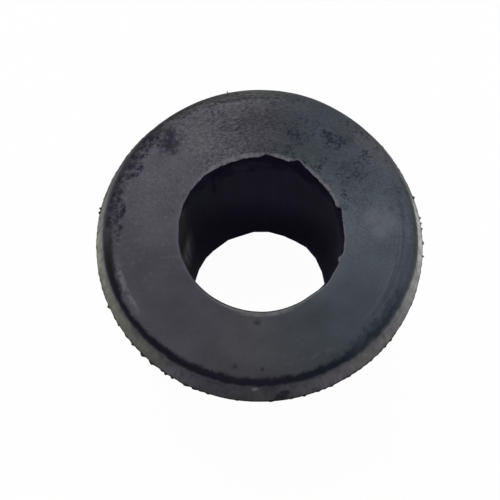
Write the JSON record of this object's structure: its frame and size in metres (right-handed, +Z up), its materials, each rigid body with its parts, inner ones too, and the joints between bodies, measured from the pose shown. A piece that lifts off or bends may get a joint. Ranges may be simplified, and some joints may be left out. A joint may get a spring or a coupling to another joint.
{
  "type": "rubber grommet",
  "caption": "Thick-flanged black rubber grommet with a panel groove, a tapered push-in nose and a through bore that narrows at the nose.",
  "frame": {"origin": "centre of the end of the nose, which is the foot the grommet stands on", "axes": "+Z up the bore from the nose to the flat top of the flange; +X and +Y across the bore"},
  "size_m": [0.0505, 0.0503, 0.0335],
  "materials": {
    "black_rubber": "matt moulded rubber with grey bloom"
  },
  "bodies": {
    "root": {"grommet": "black_rubber"}
  },
  "joints": []
}
